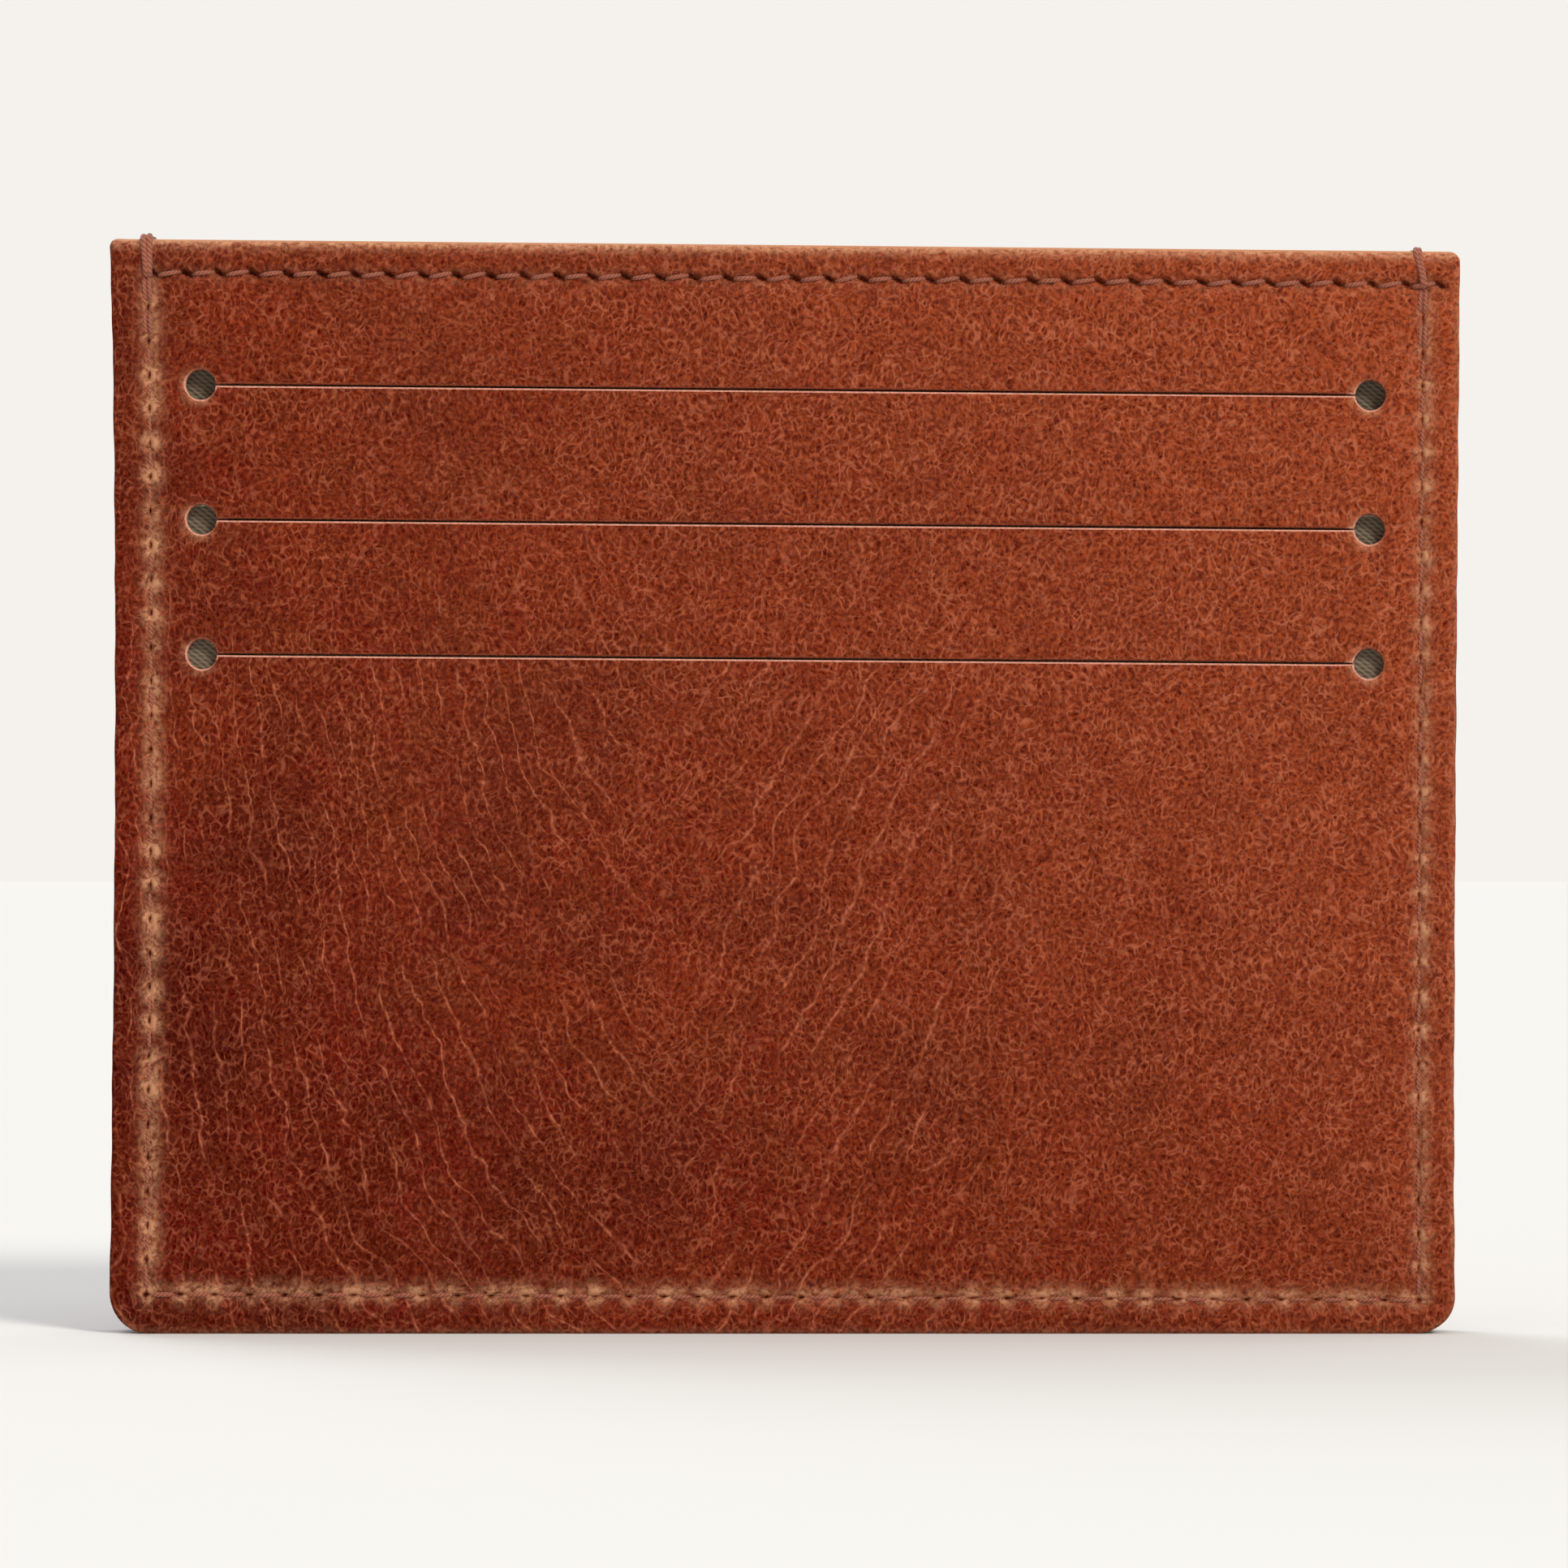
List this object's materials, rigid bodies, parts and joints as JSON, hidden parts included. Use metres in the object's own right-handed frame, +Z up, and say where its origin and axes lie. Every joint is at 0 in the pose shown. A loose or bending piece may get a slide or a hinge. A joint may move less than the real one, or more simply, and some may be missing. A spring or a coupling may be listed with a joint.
{
  "type": "card holder",
  "caption": "Flat sewn leather card holder with card slots cut in both faces and a lined main pocket that opens at the top edge.",
  "frame": {"origin": "middle of the bottom edge, halfway through the thickness", "axes": "+Z up to the mouth of the main pocket, +X along the width, to the right seen from the front, and the front panel faces -Y"},
  "size_m": [0.1, 0.0052, 0.0813],
  "materials": {
    "leather": "waxed pull-up leather, red-brown, satin",
    "lining": "cotton twill, olive grey",
    "tape": "woven cotton stay tape, unbleached",
    "filler": "bonded leather strip, dyed edge",
    "thread": "twisted polyester sewing thread, copper brown"
  },
  "bodies": {
    "root": {"front_panel": "leather", "front_lower_slot_lining": "lining", "front_middle_slot_lining": "lining", "front_upper_slot_lining": "lining", "front_middle_lining_tape": "tape", "front_mouth_stay_tape": "tape", "front_mouth_needle_thread": "thread", "front_mouth_bobbin_thread": "thread", "back_panel": "leather", "back_lower_slot_lining": "lining", "back_middle_slot_lining": "lining", "back_upper_slot_lining": "lining", "back_middle_lining_tape": "tape", "back_mouth_stay_tape": "tape", "back_mouth_needle_thread": "thread", "back_mouth_bobbin_thread": "thread", "left_seam_filler": "filler", "right_seam_filler": "filler", "bottom_seam_filler": "filler", "perimeter_needle_thread": "thread", "perimeter_bobbin_thread": "thread"}
  },
  "joints": []
}
